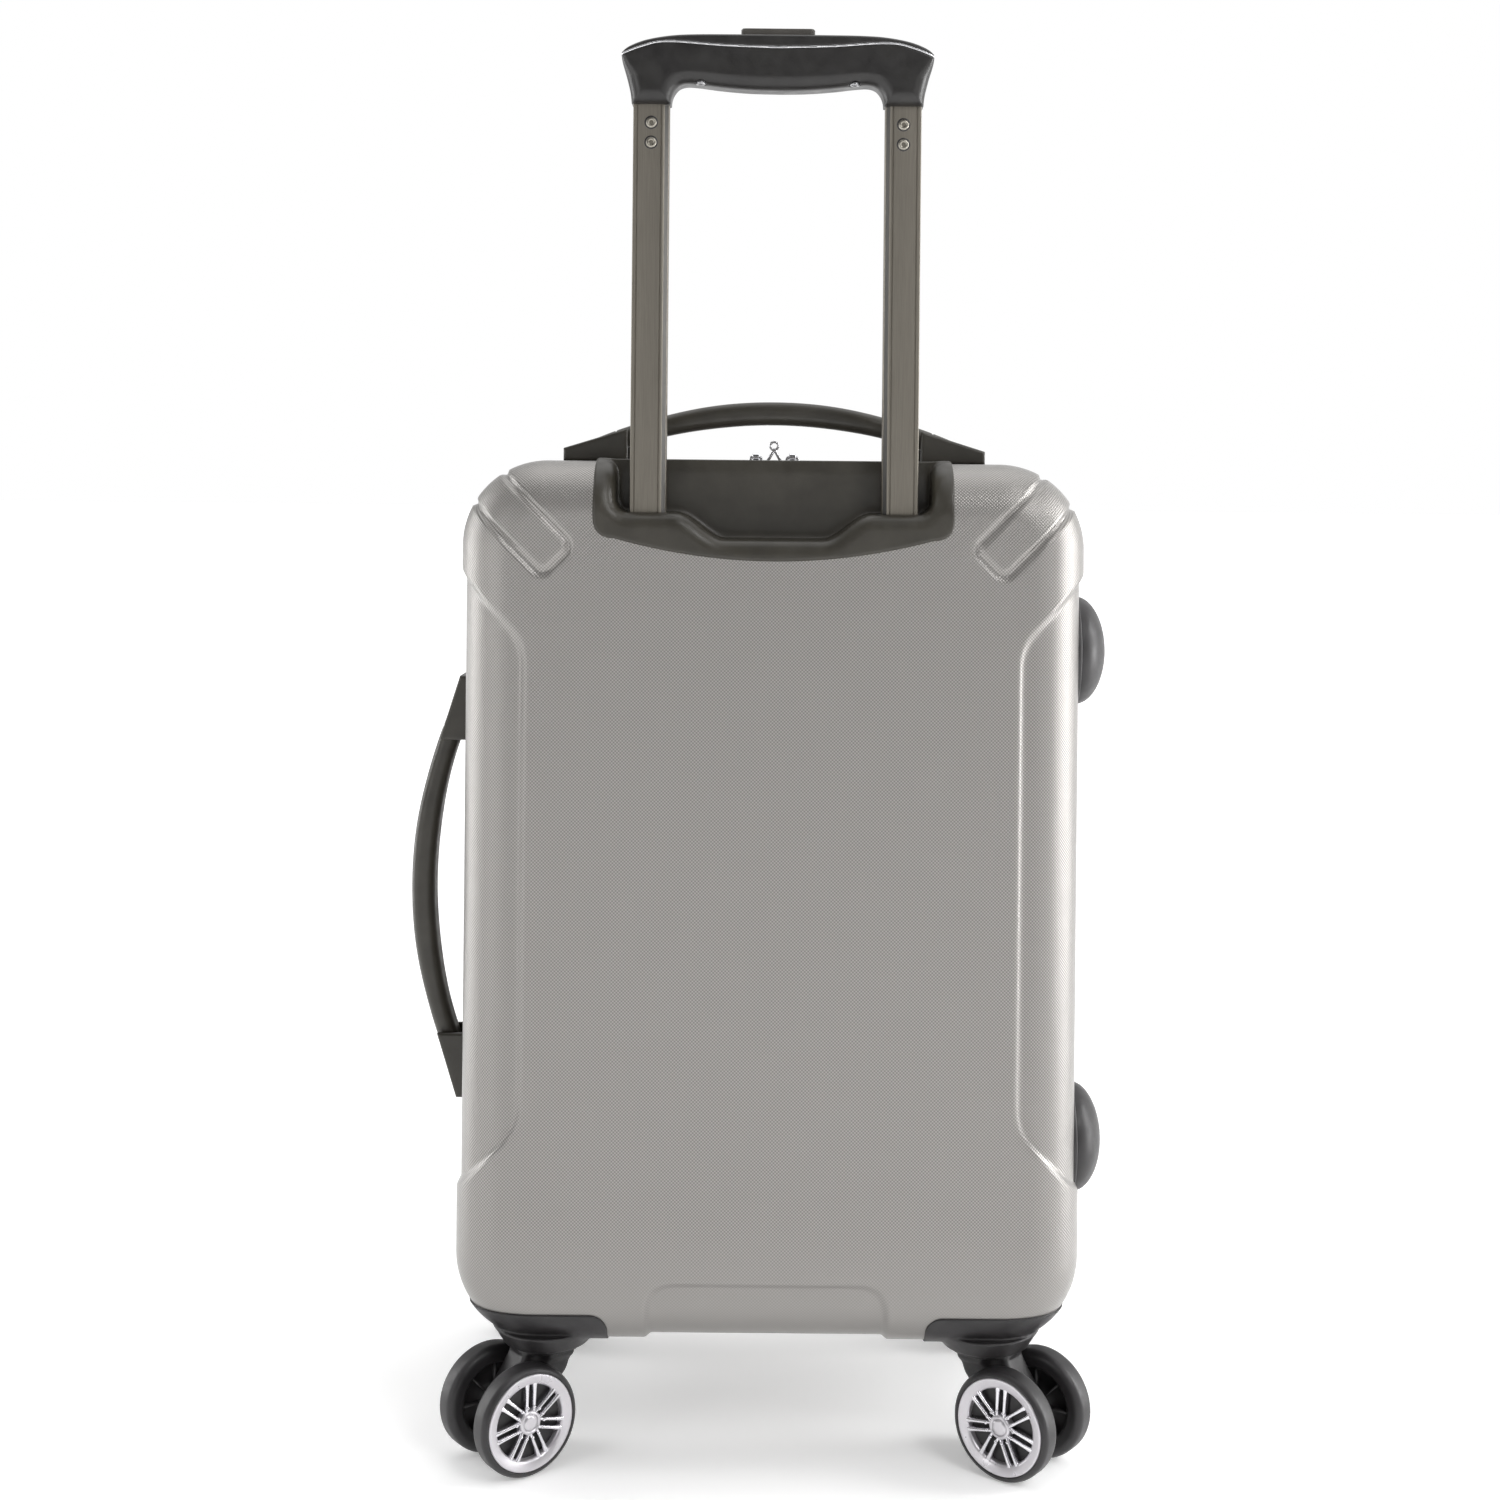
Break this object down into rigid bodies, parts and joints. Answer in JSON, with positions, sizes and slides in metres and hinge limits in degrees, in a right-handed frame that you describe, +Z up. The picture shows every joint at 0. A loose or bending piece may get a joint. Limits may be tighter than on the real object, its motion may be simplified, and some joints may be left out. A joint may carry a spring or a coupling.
{
  "type": "hard shell suitcase on wheels",
  "caption": "Upright hard shell suitcase with a telescoping trolley handle, carry handles, a zip lid and swivelling twin-wheel casters.",
  "frame": {"origin": "on the floor, under the middle of the box round the whole object at rest", "axes": "+Z up, -Y towards the trolley side, +X towards the side feet"},
  "size_m": [0.3995, 0.2608, 0.7998],
  "materials": {
    "shell": "satin silver-grey moulded plastic with a fine crosshatch texture",
    "dark_plastic": "dark warm charcoal satin plastic",
    "black_plastic": "black satin moulded plastic",
    "trolley_tube": "gunmetal anodised aluminium",
    "bare_steel": "plain steel",
    "bright_metal": "bright plated metal",
    "zip_tape": "black woven tape",
    "lining": "dark grey polyester lining",
    "wheel_tyre": "dark grey rubber"
  },
  "bodies": {
    "case": {"back_shell": "shell", "zipper_tape_back": "zip_tape", "hinge_strip": "zip_tape", "lining_back": "lining", "cross_strap": "zip_tape", "trolley_bezel": "dark_plastic", "outer_tube_left": "bare_steel", "outer_tube_right": "bare_steel", "tube_foot_bracket": "black_plastic", "top_handle_bracket_left": "dark_plastic", "top_handle_bracket_right": "dark_plastic", "side_handle_bracket_lower": "dark_plastic", "side_handle_bracket_upper": "dark_plastic", "side_foot_upper": "black_plastic", "side_foot_lower": "black_plastic", "caster_housing_rear_left": "black_plastic", "caster_housing_rear_right": "black_plastic"},
    "lid": {"front_shell": "shell", "zipper_tape_front": "zip_tape", "lining_front": "lining", "caster_housing_front_left": "black_plastic", "caster_housing_front_right": "black_plastic"},
    "mid_stage": {"mid_tube_left": "trolley_tube", "mid_tube_right": "trolley_tube"},
    "inner_stage": {"inner_tube_left": "trolley_tube", "inner_tube_right": "trolley_tube", "grip_body": "dark_plastic", "grip_trim": "bright_metal", "grip_cover": "dark_plastic", "grip_screw_left": "bare_steel", "grip_screw_right": "bare_steel", "button_spring": "bare_steel", "tube_rivet_left_upper": "bright_metal", "tube_rivet_left_lower": "bright_metal", "tube_rivet_right_upper": "bright_metal", "tube_rivet_right_lower": "bright_metal"},
    "release_button": {"grip_button": "dark_plastic", "push_bar": "black_plastic", "push_rod_left": "bare_steel", "push_rod_right": "bare_steel"},
    "lock_pin_left": {"lock_pin_left": "bare_steel"},
    "lock_pin_right": {"lock_pin_right": "bare_steel"},
    "top_handle": {"top_handle_bar": "dark_plastic"},
    "side_handle": {"side_handle_bar": "dark_plastic"},
    "zip_slider_left": {"zip_slider_left": "bright_metal"},
    "zip_slider_right": {"zip_slider_right": "bright_metal"},
    "zip_pull_left": {"zip_pull_left": "bright_metal"},
    "zip_pull_right": {"zip_pull_right": "bright_metal"},
    "caster_rear_left": {"caster_fork_rear_left": "black_plastic"},
    "wheel_rear_left_1": {"wheel_rear_left_1": "wheel_tyre"},
    "wheel_rear_left_2": {"wheel_rear_left_2": "wheel_tyre"},
    "caster_rear_right": {"caster_fork_rear_right": "black_plastic"},
    "wheel_rear_right_1": {"wheel_rear_right_1": "wheel_tyre"},
    "wheel_rear_right_2": {"wheel_rear_right_2": "wheel_tyre"},
    "caster_front_left": {"caster_fork_front_left": "black_plastic"},
    "wheel_front_left_1": {"wheel_front_left_1": "wheel_tyre"},
    "wheel_front_left_2": {"wheel_front_left_2": "wheel_tyre"},
    "caster_front_right": {"caster_fork_front_right": "black_plastic"},
    "wheel_front_right_1": {"wheel_front_right_1": "wheel_tyre"},
    "wheel_front_right_2": {"wheel_front_right_2": "wheel_tyre"}
  },
  "joints": [
    {"name": "lid_hinge", "type": "hinge", "parent": "case", "child": "lid", "pos_m": [0.1832, 0.0025, 0.3135], "axis": [0, 0, -1], "range_deg": [0, 150], "deforming": ["hinge_strip"]},
    {"name": "mid_stage_slide", "type": "slide", "parent": "case", "child": "mid_stage", "axis": [0, 0, 1], "range_m": [0, 0.225]},
    {"name": "inner_stage_slide", "type": "slide", "parent": "mid_stage", "child": "inner_stage", "axis": [0, 0, 1], "range_m": [-0.225, 0]},
    {"name": "button_press", "type": "slide", "parent": "inner_stage", "child": "release_button", "axis": [0, 0, -1], "range_m": [0, 0.004], "stiffness_N_per_m": 1200, "springref_m": -0.002, "deforming": ["button_spring"]},
    {"name": "lock_pin_left_slide", "type": "slide", "parent": "inner_stage", "child": "lock_pin_left", "axis": [1, 0, 0], "range_m": [0, 0.002]},
    {"name": "lock_pin_right_slide", "type": "slide", "parent": "inner_stage", "child": "lock_pin_right", "axis": [-1, 0, 0], "range_m": [0, 0.002]},
    {"name": "top_handle_lift", "type": "slide", "parent": "case", "child": "top_handle", "axis": [0, 0, 1], "range_m": [0, 0.004], "stiffness_N_per_m": 400, "springref_m": -0.001},
    {"name": "side_handle_lift", "type": "slide", "parent": "case", "child": "side_handle", "axis": [-1, 0, 0], "range_m": [0, 0.004], "stiffness_N_per_m": 400, "springref_m": -0.001},
    {"name": "zip_slide_left", "type": "slide", "parent": "case", "child": "zip_slider_left", "axis": [-1, 0, 0], "range_m": [0, 0.09]},
    {"name": "zip_slide_right", "type": "slide", "parent": "case", "child": "zip_slider_right", "axis": [1, 0, 0], "range_m": [0, 0.09]},
    {"name": "zip_pull_left_swing", "type": "hinge", "parent": "zip_slider_left", "child": "zip_pull_left", "pos_m": [-0.0028, 0.0025, 0.5637], "axis": [1, 0, 0], "range_deg": [0, 100]},
    {"name": "zip_pull_right_swing", "type": "hinge", "parent": "zip_slider_right", "child": "zip_pull_right", "pos_m": [0.0192, 0.0025, 0.5637], "axis": [1, 0, 0], "range_deg": [0, 100]},
    {"name": "caster_rear_left_swivel", "type": "hinge", "parent": "case", "child": "caster_rear_left", "pos_m": [-0.1158, -0.0795, 0.062], "axis": [0, 0, 1], "continuous": true},
    {"name": "wheel_rear_left_1_spin", "type": "hinge", "parent": "caster_rear_left", "child": "wheel_rear_left_1", "pos_m": [-0.13577, -0.09455, 0.03], "axis": [0.6018, -0.7986, 0], "continuous": true},
    {"name": "wheel_rear_left_2_spin", "type": "hinge", "parent": "caster_rear_left", "child": "wheel_rear_left_2", "pos_m": [-0.13577, -0.09455, 0.03], "axis": [0.6018, -0.7986, 0], "continuous": true},
    {"name": "caster_rear_right_swivel", "type": "hinge", "parent": "case", "child": "caster_rear_right", "pos_m": [0.1322, -0.0795, 0.062], "axis": [0, 0, 1], "continuous": true},
    {"name": "wheel_rear_right_1_spin", "type": "hinge", "parent": "caster_rear_right", "child": "wheel_rear_right_1", "pos_m": [0.15217, -0.09455, 0.03], "axis": [0.6018, 0.7986, 0], "continuous": true},
    {"name": "wheel_rear_right_2_spin", "type": "hinge", "parent": "caster_rear_right", "child": "wheel_rear_right_2", "pos_m": [0.15217, -0.09455, 0.03], "axis": [0.6018, 0.7986, 0], "continuous": true},
    {"name": "caster_front_left_swivel", "type": "hinge", "parent": "lid", "child": "caster_front_left", "pos_m": [-0.1158, 0.0795, 0.062], "axis": [0, 0, 1], "continuous": true},
    {"name": "wheel_front_left_1_spin", "type": "hinge", "parent": "caster_front_left", "child": "wheel_front_left_1", "pos_m": [-0.13577, 0.09455, 0.03], "axis": [-0.6018, -0.7986, 0], "continuous": true},
    {"name": "wheel_front_left_2_spin", "type": "hinge", "parent": "caster_front_left", "child": "wheel_front_left_2", "pos_m": [-0.13577, 0.09455, 0.03], "axis": [-0.6018, -0.7986, 0], "continuous": true},
    {"name": "caster_front_right_swivel", "type": "hinge", "parent": "lid", "child": "caster_front_right", "pos_m": [0.1322, 0.0795, 0.062], "axis": [0, 0, 1], "continuous": true},
    {"name": "wheel_front_right_1_spin", "type": "hinge", "parent": "caster_front_right", "child": "wheel_front_right_1", "pos_m": [0.15217, 0.09455, 0.03], "axis": [-0.6018, 0.7986, 0], "continuous": true},
    {"name": "wheel_front_right_2_spin", "type": "hinge", "parent": "caster_front_right", "child": "wheel_front_right_2", "pos_m": [0.15217, 0.09455, 0.03], "axis": [-0.6018, 0.7986, 0], "continuous": true}
  ],
  "couplings": [
    {"joint": "lock_pin_left_slide", "follows": "button_press", "ratio": 0.5},
    {"joint": "lock_pin_right_slide", "follows": "button_press", "ratio": 0.5}
  ]
}
